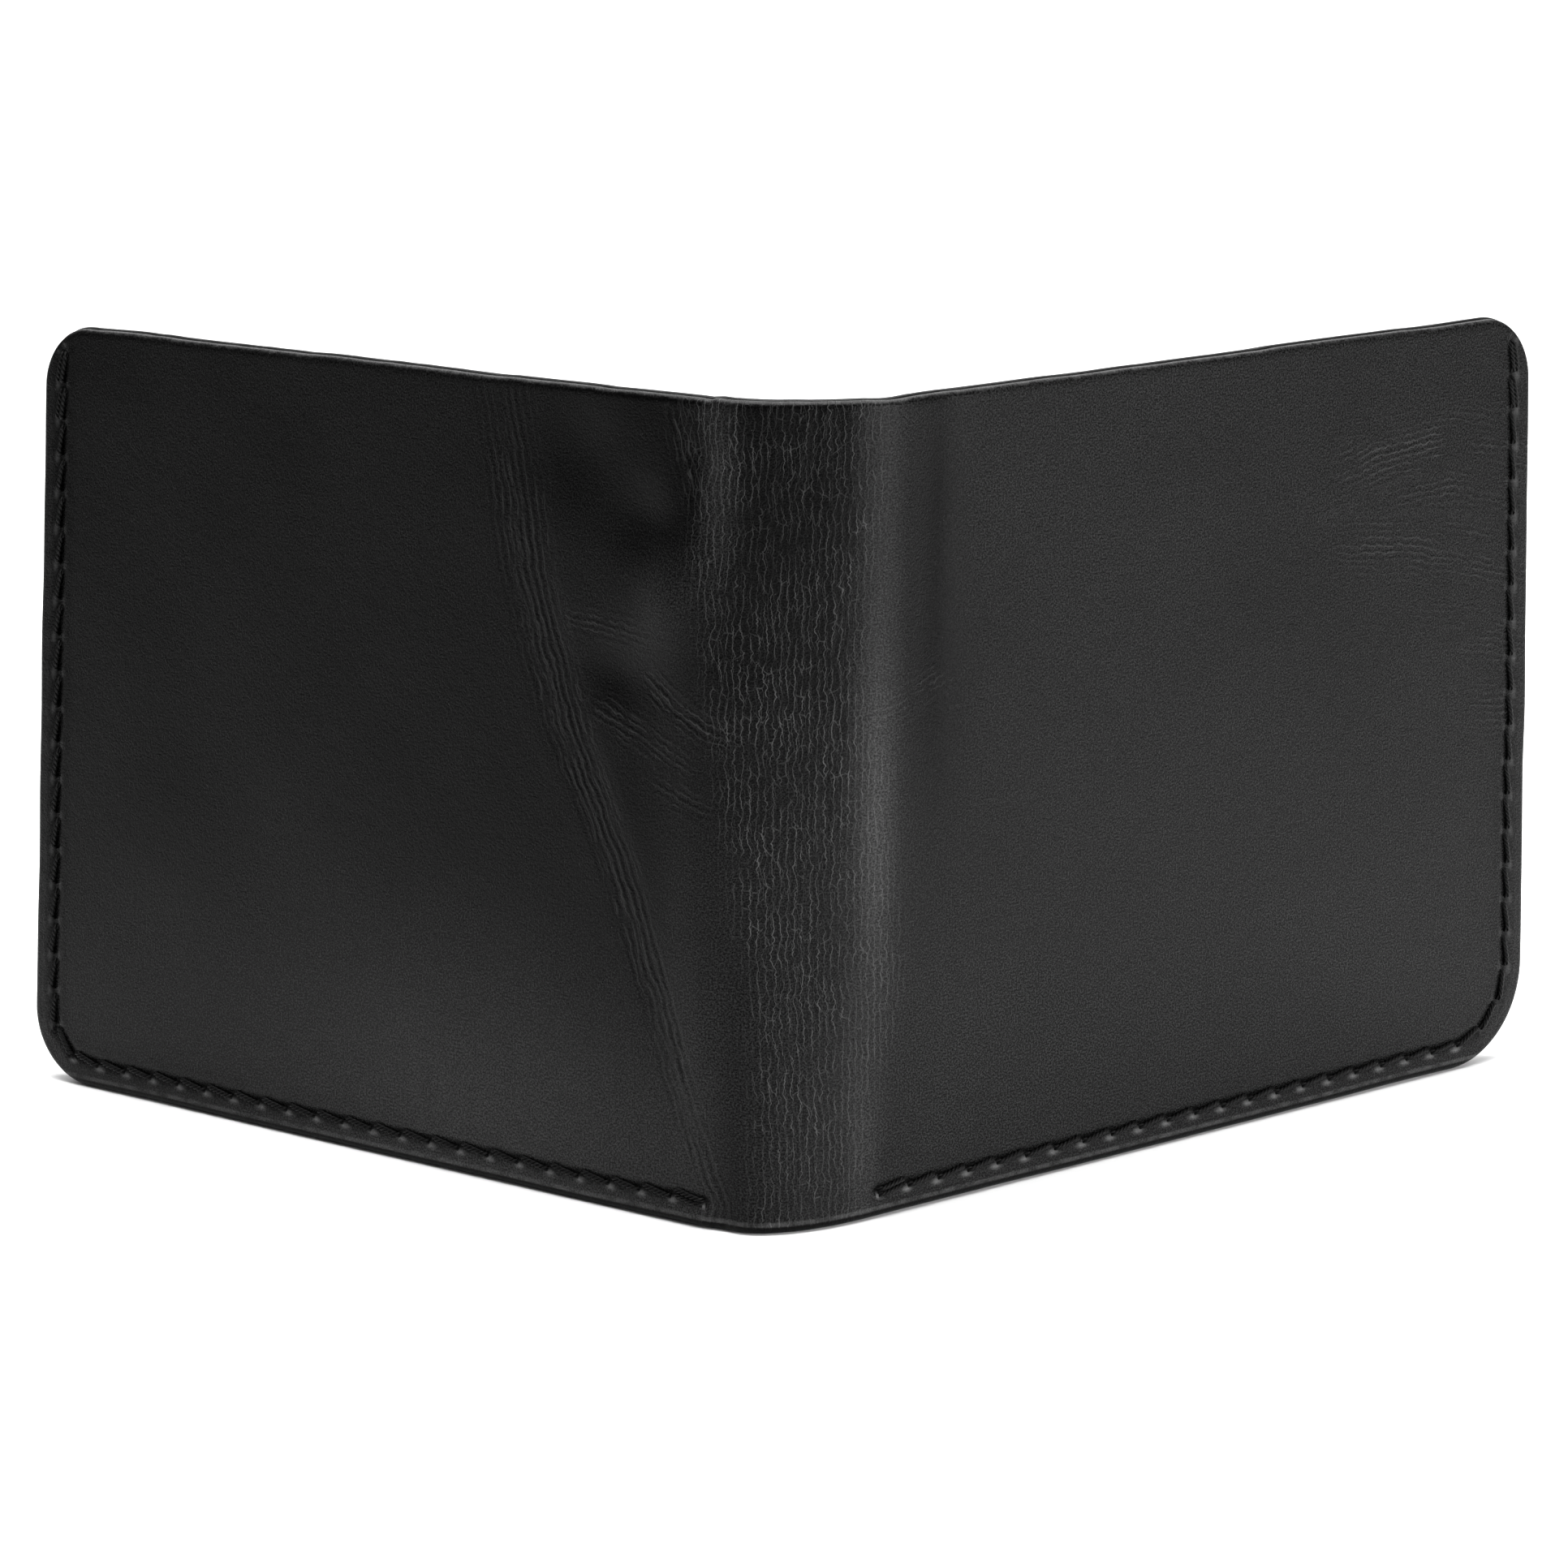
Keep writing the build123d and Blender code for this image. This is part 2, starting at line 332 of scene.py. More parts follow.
def perimeter_holes(side):
    """Holes of the L-shaped seam in u and z: down the free edge, round the corner and along."""
    corner = CORNERS[side][0]
    bend, edge, top = corner - SEAM_INSET, COVER - SEAM_INSET, HEIGHT - SEAM_BELOW_TOP
    down, turn, along = top - corner, bend * math.pi / 2, COVER - corner - SEAM_END
    total = down + turn + along
    points = []
    for travel in np.linspace(0, total, round(total / SEAM_PITCH) + 1):
        if travel <= down:
            points.append((edge, top - travel))
        elif travel <= down + turn:
            a = (travel - down) / bend
            points.append((edge - bend + bend * math.cos(a), corner - bend * math.sin(a)))
        else:
            points.append((COVER - corner - (travel - down - turn), SEAM_INSET))
    return points


def straight_holes(start, end):
    """Holes of a straight seam, in u and z."""
    count = round(math.dist(start, end) / HIDDEN_PITCH)
    return [tuple(np.array(start) + (np.array(end) - start) * k / count) for k in range(count + 1)]


def on_leather(holes, side):
    """Holes given by u, the distance from the fold line, and z, turned into s and z."""
    return [(SIDES[side] * (ARC + u), v) for u, v in holes]


def perimeter_trough(s, z, side):
    """Relief of the outer face along the seam: a groove, pinched at each hole."""
    holes = on_leather(perimeter_holes(side), side)
    off, _, share = path_distance(s, z, holes)
    beat = share * (len(holes) - 1)
    near_hole = np.abs(beat - np.round(beat))
    groove = 0.2 + 0.16 * np.exp(-((near_hole / 0.17) ** 2))
    crown = 0.07 * np.exp(-(((off - 1.35) / 0.6) ** 2)) * (0.6 + 0.4 * np.cos(2 * math.pi * beat))
    ends = np.where((share <= 0) | (share >= 1), np.exp(-((off / 0.7) ** 2)), 1)
    return (crown - groove * np.exp(-((off / 0.62) ** 2))) * ends


def seam_marks(s, z):
    """Painted shade in the groove of the perimeter seams, and a painted glint beside each hole where the
    leather puckers.
    """
    groove_shade, painted_glint = np.zeros(s.shape), np.zeros(s.shape)
    for side, sign in SIDES.items():
        holes = on_leather(perimeter_holes(side), side)
        near = (s * sign > ARC) & (np.minimum(FREE - s * sign, z) < 8)
        off, _, share = path_distance(s[near], z[near], holes)
        beat = share * (len(holes) - 1)
        at_hole = np.exp(-(((beat - np.round(beat)) / 0.14) ** 2)) * (share > 0) * (share < 1)
        edge, low = FREE - s[near] * sign, z[near]
        outward = smooth((SEAM_INSET - np.minimum(edge, low)) / 0.3)
        below = np.where(low < edge, 1, 0.3)
        # Painted shade in the seam's groove, deepest at the holes.
        groove_shade[near] = np.exp(-((off / 0.5) ** 2)) * (0.75 + 0.25 * at_hole)
        # A painted glint just outside each hole, stronger on the bottom seam.
        painted_glint[near] = np.exp(-(((off - 0.72) / 0.26) ** 2)) * at_hole * outward * below
    return groove_shade, painted_glint


# ---------------------------------------------------------------- meshes


def new_object(name, points, faces, material):
    mesh = bpy.data.meshes.new(name)
    mesh.from_pydata(points.tolist(), [], faces)
    mesh.shade_smooth()
    mesh.materials.append(material)
    item = bpy.data.objects.new(name, mesh)
    bpy.context.scene.collection.objects.link(item)
    return item


def store(item, name, values):
    """Keeps one or three numbers for each vertex, for the material to read."""
    values = np.asarray(values, np.float32)
    kind, field = ("FLOAT_VECTOR", "vector") if values.ndim == 2 else ("FLOAT", "value")
    item.data.attributes.new(name, kind, "POINT").data.foreach_set(field, values.ravel())


def with_edges(low, high, lines, radius, round_low):
    """Grid lines, with a fan of narrow ones at each rounded edge."""
    fan = radius * (1 - np.cos(np.radians([0, 18, 36, 54, 72, 90])))
    start = low + fan if round_low else np.array([low])
    room = radius * 1.25
    inner = lines[(lines > start[-1] + (room - radius if round_low else 0)) & (lines < high - room)]
    return np.concatenate([start, inner, high - fan[::-1]])


def round_corner(u, v, box, radius, at_top):
    """Moves the points of a corner's square into a quarter disc."""
    if not radius:
        return u, v
    edge, sign = (box[3], 1) if at_top else (box[2], -1)
    x = (u - (box[1] - radius)) / radius
    y = (v - edge) * sign / radius + 1
    inside = (x > 0) & (y > 0)
    x, y = np.where(inside, x, 1), np.where(inside, y, 1)
    reach = np.maximum(x, y)
    angle = math.pi / 4 * np.minimum(x, y) / reach
    angle = np.where(x >= y, angle, math.pi / 2 - angle)
    new_u = box[1] - radius + radius * reach * np.cos(angle)
    new_v = edge + sign * radius * (reach * np.sin(angle) - 1)
    return np.where(inside, new_u, u), np.where(inside, new_v, v)


def full_faces(outer, inner, kept):
    """Both sides of every kept cell, and walls where there is no rounded edge."""
    faces = []
    for i, j in zip(*np.nonzero(kept)):
        loop = [(i, j), (i, j + 1), (i + 1, j + 1), (i + 1, j)]
        faces.append([outer[p] for p in loop])
        faces.append([inner[p] for p in reversed(loop)])
        beyond = [(i - 1, j), (i, j + 1), (i + 1, j), (i, j - 1)]
        for p, q, cell in zip(loop, loop[1:] + loop[:1], beyond):
            off_grid = min(cell) < 0 or cell[0] >= kept.shape[0] or cell[1] >= kept.shape[1]
            if off_grid or not kept[cell]:
                wall = list(dict.fromkeys([outer[q], outer[p], inner[p], inner[q]]))
                if len(wall) > 2:
                    faces.append(wall)
    return faces


def light_faces(outer, inner, step):
    """A fine outer side, a coarser inner side, and a cap where the sheet is cut at s = 0."""
    rows, columns = outer.shape
    quads = [outer[:-1, :-1], outer[:-1, 1:], outer[1:, 1:], outer[1:, :-1]]
    faces = np.stack(quads, -1).reshape(-1, 4).tolist()

    def coarse(count, low_fan):
        middle = range(6 if low_fan else 0, count - 6, step)
        return sorted({*range(6 if low_fan else 1), *middle, *range(count - 6, count)})

    across, up = coarse(rows, False), coarse(columns, True)
    for a, b in zip(across, across[1:]):
        for c, d in zip(up, up[1:]):
            low = range(a, b + 1) if c == 0 else (a, b)
            right = range(c, d + 1) if b == rows - 1 else (c, d)
            top = range(b, a - 1, -1) if d == columns - 1 else (b, a)
            loop = [(i, c) for i in low] + [(b, j) for j in right] + [(i, d) for i in top]
            faces.append(list(dict.fromkeys(inner[p] for p in loop)))
    for c, d in zip(up, up[1:]):
        cap = [outer[0, j] for j in range(d, c - 1, -1)] + [inner[0, c], inner[0, d]]
        faces.append(list(dict.fromkeys(cap)))
    return faces


def sheet_grid(box, columns, rows, radius, corners, cut):
    """Grid lines of a sheet, its points in u and z, and how far each is from the sheet's edge."""
    u_lines = with_edges(box[0], box[1], columns, radius, not cut)
    v_lines = with_edges(box[2], box[3], rows, radius, True)
    u, v = np.meshgrid(u_lines, v_lines, indexing="ij")
    to_edge = np.minimum(box[1] - u, np.minimum(v - box[2], box[3] - v))
    if not cut:
        to_edge = np.minimum(to_edge, u - box[0])
    for at_top, corner in enumerate(corners):
        u, v = round_corner(u, v, box, corner, bool(at_top))
    return u_lines, v_lines, u, v, to_edge


def sheet_faces(u_lines, v_lines, to_edge, keep, cut):
    """Faces of a sheet whose outer points are numbered first. The two sides share their edge."""
    outer = np.arange(to_edge.size).reshape(to_edge.shape)
    inner = np.where(to_edge < 1e-9, outer, outer + to_edge.size)
    if cut:
        return light_faces(outer, inner, 3)
    middles = [(lines[:-1] + lines[1:]) / 2 for lines in (u_lines, v_lines)]
    cells = np.meshgrid(*middles, indexing="ij")
    return full_faces(outer, inner, keep(*cells) if keep else np.ones(cells[0].shape, bool))


def sheet(name, side, box, start, thickness, columns, rows, material,
          corners=(0, 0), keep=None, relief=None, back_relief=None, cut=False):
    """One sheet of leather with rounded edges. box is u from, u to, z from and z to.

    start is its depth, a number or a function of u and z. keep says which cells are leather.
    relief and back_relief are functions of s and z. A cut sheet ends flat at the middle of the
    spine, is finer outside than inside, and carries the marks of the outer face.
    """
    radius = thickness / 2
    u_lines, v_lines, u, v, to_edge = sheet_grid(box, columns, rows, radius, corners, cut)
    swing = np.sqrt(np.clip(1 - (1 - np.clip(to_edge / radius, 0, 1)) ** 2, 0, 1))
    s = SIDES[side] * (ARC + u)
    depth = start(u, v) if callable(start) else start
    settle = smooth(to_edge / 0.8)
    outer = place(s, v, depth + radius * (1 - swing), relief(s, v) * settle if relief else 0)
    back_out = back_relief(s, v) * settle if back_relief else 0
    inner = place(s, v, depth + radius * (1 + swing), back_out)
    points = np.concatenate([outer.reshape(-1, 3), inner.reshape(-1, 3)])
    faces = sheet_faces(u_lines, v_lines, to_edge, keep, cut)
    used = np.unique(np.concatenate([np.array(f) for f in faces]))
    renumber = np.zeros(len(points), int)
    renumber[used] = np.arange(len(used))
    faces = [renumber[f].tolist()[::-SIDES[side]] for f in faces]
    item = new_object(name, points[used], faces, material)
    flat = np.stack([s, v, depth + 0 * s], -1).reshape(-1, 3)[used % u.size]
    store(item, "flat", flat)
    store(item, "rim", np.exp(-to_edge.ravel() / 0.4)[used % u.size])
    if cut:
        store_marks(item, flat[:, 0], flat[:, 1], used < u.size)
        sharpen(item, np.abs(flat[:, 0]) < 1e-9)
    return item


def sharpen(item, middle):
    """Makes the edges of the cap at s = 0 sharp, so that the leather's shading runs on."""
    for edge in item.data.edges:
        if middle[edge.vertices[0]] and middle[edge.vertices[1]]:
            edge.use_edge_sharp = True


# Painted light on the outer leather: painted highlights on the bend of the spine and on a bump, and
# painted shade in the hollows: amount, middle and radii
PAINTED_LIGHT_HILLS = [
    (3.6, (9.6, 45), (2.1, 18)),
    (2.3, (7.8, 8), (2.2, 12)),
    (0.9, (-11, 24), (4, 20)),
    (0.9, (-13.8, 70), (3.2, 6)),
    (2.2, (-8, 84), (2, 10)),
    (-0.3, (-26, 84), (9, 8)),
    (-1.2, (-14, 83), (5, 9)),
    (-0.5, (-19, 60), (6, 5)),
    (-0.9, (17, 72), (4.5, 24)),
]
# Painted light low on the left cover, as if lit by the bright floor: amount, middle and radii
PAINTED_LIGHT_LEFT = [(3.2, (-42, 4), (34, 18))]


def painted_light_tone(s, z):
    """How light the outer leather is drawn, mostly painted light: paler low down as if lit by the floor,
    a painted highlight on the bend, painted shade in the hollows, and some random mottling.
    """
    left = 0.35 + 0.9 * smooth((40 - z) / 40) + hills(s, z, PAINTED_LIGHT_LEFT)
    right = 0.9 + 0.5 * smooth((46 - z) / 46)
    spine = 0.05 + 0.85 * smooth((76 - z) / 60)
    tone = left + (spine - left) * smooth((s + 11) / 5)
    tone += (right - tone) * smooth((s - 5) / 5)
    tone += 0.16 * noise(s / 24, z / 20, 31) + 0.1 * noise(s / 9, z / 8, 32)
    return np.maximum(tone + hills(s, z, PAINTED_LIGHT_HILLS), 0.03)


def store_marks(item, s, z, outside):
    """What the material needs to draw the finest creases: where they run and how strong.

    bundle holds the distance across the long bundle, its strength and the spine's; short holds
    the distance across the nearest short crease, its strength and the tone, which carries painted
    light; seam holds the painted shade in the seam groove and the painted glints.
    """
    across, strength = bundle_place(s, z)
    store(item, "bundle", np.stack([across, strength * outside, braid_strength(s, z) * outside], -1))
    nearest, best = np.zeros(s.shape), np.zeros(s.shape)
    for signed, off, here, height in short_creases(s, z):
        here = here * np.exp(-((off / 1.7) ** 2)) * (0.4 + 8 * height)
        nearest = np.where(here > best, signed, nearest)
        best = np.maximum(best, here)
    store(item, "short", np.stack([nearest, best * outside, painted_light_tone(s, z)], -1))
    groove_shade, painted_glint = seam_marks(s, z)
    store(item, "seam", np.stack([groove_shade * outside, painted_glint * outside, 0 * s], -1))


# ---------------------------------------------------------------- threads


def tube(centre, lateral, radius, ring):
    """Points of a round strand along centre, and its faces. Everything is in s, z and d."""
    along = np.gradient(centre, axis=0)
    along /= np.linalg.norm(along, axis=1)[:, None]
    up = np.cross(along, lateral)
    angle = np.linspace(0, 2 * math.pi, ring, endpoint=False)
    points = (centre[:, None] + radius * np.cos(angle)[None, :, None] * lateral
              + radius * np.sin(angle)[None, :, None] * up[:, None])
    faces = []
    for i in range(len(centre) - 1):
        for k in range(ring):
            n = (k + 1) % ring
            faces.append([i * ring + k, i * ring + n, (i + 1) * ring + n, (i + 1) * ring + k])
    faces.append(list(range(ring))[::-1])
    faces.append([(len(centre) - 1) * ring + k for k in range(ring)])
    return points.reshape(-1, 3), faces


THREAD_WIDTH = 0.7
STRANDS = 3
STRAND_OFFSET = THREAD_WIDTH * 0.28  # from the middle of the thread
STRAND_RADIUS = THREAD_WIDTH * 0.23
TWIST = 1.7  # length of one turn of the strands


def stitch(start, end, face, outward, slant, shift):
    """A twisted thread from hole to hole on one face of the leather.

    outward is 1 on the outer face and -1 on the inner one. The stitch slants by that share of its
    length, and is moved sideways by shift.
    """
    steps = 18
    t = np.linspace(0, 1, steps)
    length = math.dist(start, end)
    ds, dz = (end[0] - start[0]) / length, (end[1] - start[1]) / length
    rise = smooth(t / 0.16) * smooth((1 - t) / 0.16)
    run = (smooth(t * 0.5 + 0.25) - 0.15625) / 0.6875 * 0.35 + t * 0.65
    offset = slant * (run - 0.5) * length + shift
    s = start[0] + ds * run * length - dz * offset
    z = start[1] + dz * run * length + ds * offset
    d = face - outward * ((0.02 + 0.08 * np.sin(math.pi * t)) * rise - 1.3 * (1 - rise))
    centre = np.stack([s, z, d], -1)
    lateral = np.array([-dz, ds, 0.0])
    along = np.gradient(centre, axis=0)
    up = np.cross(along / np.linalg.norm(along, axis=1)[:, None], lateral)
    points, faces = [], []
    for strand in range(STRANDS):
        turn = 2 * math.pi * (t * length / TWIST + strand / STRANDS)
        spiral = STRAND_OFFSET * (np.cos(turn)[:, None] * lateral + np.sin(turn)[:, None] * up)
        made, quads = tube(centre + spiral, lateral, STRAND_RADIUS, 7)
        faces += [[k + sum(map(len, points)) for k in quad] for quad in quads]
        points.append(made)
    return np.concatenate(points), faces


def threads(name, side, seams, material):
    """All the stitches of some seams, as one piece.

    A seam is (holes, face, outward, slant, doubled), with holes in u and z, and doubled the
    numbers of the stitches that are sewn twice.
    """
    points, faces, total = [], [], 0
    for holes, face, outward, slant, doubled in seams:
        ends = on_leather(holes, side)
        for k, (a, b) in enumerate(zip(ends, ends[1:])):
            middle = (abs(a[0] + b[0]) / 2 - ARC, (a[1] + b[1]) / 2)
            level = face(*middle) if callable(face) else face
            for shift in ([0.3, -0.32] if k in doubled else [0.0]):
                made, quads = stitch(a, b, level, outward, slant * SIDES[side], shift)
                faces += [[n + total for n in quad] for quad in quads]
                points.append(made)
                total += len(made)
    points = np.concatenate(points)
    item = new_object(name, place(*points.T), faces, material)
    store(item, "flat", points)
    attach(item, f"{side}_half")
    return item


# ---------------------------------------------------------------- materials


class Nodes:
    """A short way to write a material's nodes."""

    def __init__(self, name):
        self.material = bpy.data.materials.new(name)
        self.material.use_nodes = True
        self.tree = self.material.node_tree
        self.shader = self.tree.nodes["Principled BSDF"]

    def put(self, socket, value):
        if isinstance(value, bpy.types.NodeSocket):
            self.tree.links.new(value, socket)
        else:
            socket.default_value = value

    def add(self, kind, inputs=(), output=0, **settings):
        node = self.tree.nodes.new(kind)
        for key, value in settings.items():
            setattr(node, key, value)
        for key, value in dict(inputs).items():
            self.put(node.inputs[key], value)
        return node.outputs[output]

    def math(self, operation, a, b=0.0, clamp=False):
        return self.add("ShaderNodeMath", {0: a, 1: b}, operation=operation, use_clamp=clamp)

    def sum(self, first, *others):
        for other in others:
            first = self.math("ADD", first, other)
        return first

    def times(self, first, *others):
        for other in others:
            first = self.math("MULTIPLY", first, other)
        return first

    def highest(self, first, *others):
        for other in others:
            first = self.math("MAXIMUM", first, other)
        return first

    def step(self, value, low, high, to_low=0.0, to_high=1.0):
        inputs = {"Value": value, "From Min": low, "From Max": high, "To Min": to_low, "To Max": to_high}
        return self.add("ShaderNodeMapRange", inputs, interpolation_type="SMOOTHSTEP")

    def flat(self):
        return self.add("ShaderNodeAttribute", output="Vector", attribute_name="flat")

    def number(self, name):
        return self.add("ShaderNodeAttribute", output="Fac", attribute_name=name)

    def split(self, vector):
        node = self.tree.nodes.new("ShaderNodeSeparateXYZ")
        self.put(node.inputs[0], vector)
        return node.outputs[:]

    def numbers(self, name):
        """The three numbers kept under one name."""
        return self.split(self.add("ShaderNodeAttribute", output="Vector", attribute_name=name))

    def join(self, x, y, z=0.0):
        return self.add("ShaderNodeCombineXYZ", {0: x, 1: y, 2: z})

    def scaled(self, vector, scale):
        return self.add("ShaderNodeVectorMath", {0: vector, 1: scale}, operation="MULTIPLY")

    def noise(self, vector, scale, detail=2.0, roughness=0.5):
        inputs = {"Vector": vector, "Scale": scale, "Detail": detail, "Roughness": roughness}
        return self.add("ShaderNodeTexNoise", inputs)

    def cells(self, vector, scale, feature="DISTANCE_TO_EDGE", dimensions="3D"):
        inputs = {"Vector": vector, "Scale": scale}
        return self.add("ShaderNodeTexVoronoi", inputs, output="Distance", feature=feature,
                        voronoi_dimensions=dimensions)

    def mix(self, factor, a, b):
        node = self.tree.nodes.new("ShaderNodeMix")
        node.data_type = "RGBA"
        self.put(node.inputs[0], factor)
        self.put(node.inputs[6], a)
        self.put(node.inputs[7], b)
        return node.outputs[2]

    def bump(self, height):
        """Relief in millimetres."""
        inputs = {"Strength": 1.0, "Distance": MM, "Height": height}
        self.put(self.shader.inputs["Normal"], self.add("ShaderNodeBump", inputs))

    def set(self, **values):
        for key, value in values.items():
            self.put(self.shader.inputs[key.replace("_", " ")], value)


def grey(value):
    return (value, value, value, 1.0)


def grain(n, flat):
    """Fine pores and pebble of finished calf leather: relief in millimetres, and two noises."""
    pebble = n.step(n.cells(flat, 1.7), 0.0, 0.2)
    fine = n.noise(flat, 4.6, 3.0, 0.6)
    low = n.noise(flat, 0.5)
    return n.sum(n.times(pebble, 0.012), n.times(fine, 0.05), n.times(low, 0.03)), fine, low


def strands(n, position, flat, spacing, sway, jitter, thin, wiggle=(0.55, 1.3, 0)):
    """Wavy parallel folds: 1 on a ridge and 0 elsewhere, and 1 in the furrows between ridges."""
    wide = n.noise(n.scaled(flat, (0.25, 0.3, 0)), 1.0)
    tight = n.noise(n.scaled(flat, wiggle), 1.0, 2.0, 0.6)
    moved = n.sum(position, n.times(wide, sway), n.times(tight, jitter))
    wave = n.math("SINE", n.times(moved, 2 * math.pi / spacing))
    return n.step(wave, thin, 1.0), n.step(wave, -0.1, -0.9)


def net(n, flat, cell, wander, thin):
    """A net of cracks that run mostly up and down: 1 on a crack and 0 between them."""
    s, z, _ = n.split(flat)
    wide = n.noise(n.scaled(flat, (0.5, 0.35, 0)), 1.0)
    tight = n.noise(n.scaled(flat, (1.6, 1.1, 0)), 1.0, 2.0, 0.6)
    moved = n.sum(s, n.times(wide, 1.5 * wander), n.times(tight, wander))
    stretched = n.join(n.math("DIVIDE", moved, cell[0]), n.math("DIVIDE", z, cell[1]))
    return n.step(n.cells(stretched, 1.0, dimensions="2D"), 0.0, thin, 1.0, 0.0)


def crack_lines(n, flat):
    """Creased leather on the spine, in the bundle and short creases: pale lines, on the spine pale
    cracks and in the creases partly painted highlight on the ridges, and furrows that sink the relief
    and carry painted shade.
    """
    s, _, _ = n.split(flat)
    bundle, bundle_strength, braid_strength = n.numbers("bundle")
    short, short_strength, _ = n.numbers("short")
    broken = n.times(n.step(n.noise(n.scaled(flat, (0.9, 0.4, 0)), 1.0), 0.32, 0.62, 0.15, 1.0),
                     n.step(n.noise(flat, 0.11, 1.0), 0.35, 0.6, 0.5, 1.0))
    braid, braid_low = strands(n, s, flat, 0.8, 1.5, 0.8, 0.86)
    braid = n.highest(braid, n.times(net(n, flat, (0.85, 3.0), 0.6, 0.04), 0.55))
    along, along_low = strands(n, bundle, flat, 0.95, 1.3, 0.45, 0.55)
    across, across_low = strands(n, short, flat, 0.85, 1.0, 0.9, 0.6, (1.3, 0.55, 0))
    ridges, furrows = [], []
    for high, low, strength, dark in ((braid, braid_low, braid_strength, 0.35),
                                      (along, along_low, bundle_strength, 1.0),
                                      (across, across_low, short_strength, 0.6)):
        ridges.append(n.times(high, strength, broken))
        # The furrows sink the relief and also carry painted shade.
        furrows.append(n.math("MULTIPLY", n.times(low, broken, dark), strength, clamp=True))
    return ridges, n.highest(furrows[0], n.highest(*furrows[1:]))


BASE_SHADE = 0.0045  # of the outer face
SHELL_SHINE = 0.07
INSIDE_SHINE = 0.12
# How much paler each mark is than the base shade. The lines along and across the creases are partly
# paler leather and partly painted highlight on their ridges; the marks on the rims, beside the holes and
# along the bottom edge are painted highlights.
BRAID, ALONG, ACROSS, SPECK, RIM_HIGHLIGHT, PAINTED_GLINT, BOTTOM_HIGHLIGHT = 0.055, 0.014, 0.024, 0.035, 0.014, 0.1, 0.03


def finish_and_painted_light(n, fine, low, furrow_dip_and_shade):
    """Base shade of the outer leather, with the painted light of the tone, painted shade in the furrows,
    and how pale the spine's cracks are on it.
    """
    _, _, tone = n.numbers("short")
    mottle = n.step(fine, 0.33, 0.67, 0.2, 1.8)
    fleck = n.times(n.step(fine, 0.42, 0.75, 0.0, 0.010), n.step(tone, 0.0, 1.0, 0.3, 1.0))
    # The tone scales the shade, so its painted light and painted shade reach the colour here.
    shade = n.times(mottle, n.step(low, 0.25, 0.75, 0.88, 1.12), tone, BASE_SHADE)
    # Painted shade: the colour darkens in the crease furrows.
    shade = n.times(n.sum(shade, fleck), n.sum(n.times(furrow_dip_and_shade, -0.9), 1.0))
    return shade, n.step(tone, 0.0, 0.5, 0.5, 1.0)


def edge_marks(n, flat, shade, rim):
    """Adds the painted shade in the seams' grooves and their painted glints, painted highlights on the
    rims, and the painted shadow and painted highlight along the bottom edge.
    """
    groove_shade, painted_glint, _ = n.numbers("seam")
    # Painted shade: the colour darkens in the seam grooves.
    shade = n.times(shade, n.sum(n.times(groove_shade, -0.95), 1.0))
    # Painted highlight along the rims, broken up by noise.
    rim_highlight = n.times(n.step(rim, 0.35, 0.6), n.step(n.noise(flat, 0.9, 3.0), 0.4, 0.65))
    shade = n.sum(shade, n.times(rim_highlight, RIM_HIGHLIGHT), n.times(painted_glint, PAINTED_GLINT))
    _, z, _ = n.split(flat)
    # Painted highlight: a pale line along the bottom edge, 0.75 to 1.5 mm up.
    bottom_highlight = n.times(n.step(z, 0.75, 1.0), n.step(z, 1.2, 1.5, 1.0, 0.0),
                      n.step(n.noise(flat, 0.6, 3.0), 0.35, 0.6, 0.3, 1.0))
    # Painted shadow: below about 0.7 mm the colour goes black under the bottom edge.
    return n.sum(n.times(shade, n.step(z, 0.7, 0.95)), n.times(bottom_highlight, BOTTOM_HIGHLIGHT))


def shell_leather():
    n = Nodes("shell_leather_black")
    flat = n.flat()
    height, fine, low = grain(n, flat)
    (braid, along, across), furrow_dip_and_shade = crack_lines(n, flat)
    lines = n.math("MAXIMUM", braid, n.highest(along, across), clamp=True)
    n.bump(n.sum(height, n.times(lines, 0.05), n.times(furrow_dip_and_shade, -0.05)))
    speck = n.times(n.step(n.cells(flat, 1.3, "F1"), 0.03, 0.1, 1.0, 0.0),
                    n.step(n.noise(flat, 0.9), 0.5, 0.6))
    shade, braid_shade = finish_and_painted_light(n, fine, low, furrow_dip_and_shade)
    # The pale lines along and across the creases are partly painted highlight on the ridges.
    shade = n.sum(shade, n.times(braid, braid_shade, BRAID), n.times(along, ALONG))
    shade = n.sum(shade, n.times(across, ACROSS), n.times(speck, SPECK))
    rim = n.number("rim")
    shade = edge_marks(n, flat, shade, rim)
    n.set(Base_Color=n.join(shade, shade, shade))
    n.set(Roughness=n.sum(n.times(fine, 0.14), n.times(lines, 0.1), 0.2, n.times(rim, -0.06)))
    n.shader.inputs["Specular IOR Level"].default_value = SHELL_SHINE
    return n.material


def plain_leather(name, dark, light, rough):
    """Leather of the inside: the same grain, with no creases."""
    n = Nodes(name)
    flat = n.flat()
    height, fine, low = grain(n, flat)
    n.bump(height)
    base = n.mix(low, grey(dark), grey(light))
    n.set(Base_Color=n.mix(n.times(n.number("rim"), 0.8), base, grey(0.002)))
    n.set(Roughness=n.sum(n.times(fine, 0.16), rough))
    n.shader.inputs["Specular IOR Level"].default_value = INSIDE_SHINE
    return n.material


def waxed_thread():
    n = Nodes("waxed_thread_black")
    fibre = n.noise(n.flat(), 9.0, 3.0, 0.6)
    n.bump(n.times(fibre, 0.05))
    n.set(Base_Color=n.mix(fibre, grey(0.0005), grey(0.003)))
    n.set(Roughness=n.sum(n.times(fibre, 0.2), 0.22))
    n.shader.inputs["Specular IOR Level"].default_value = INSIDE_SHINE
    return n.material


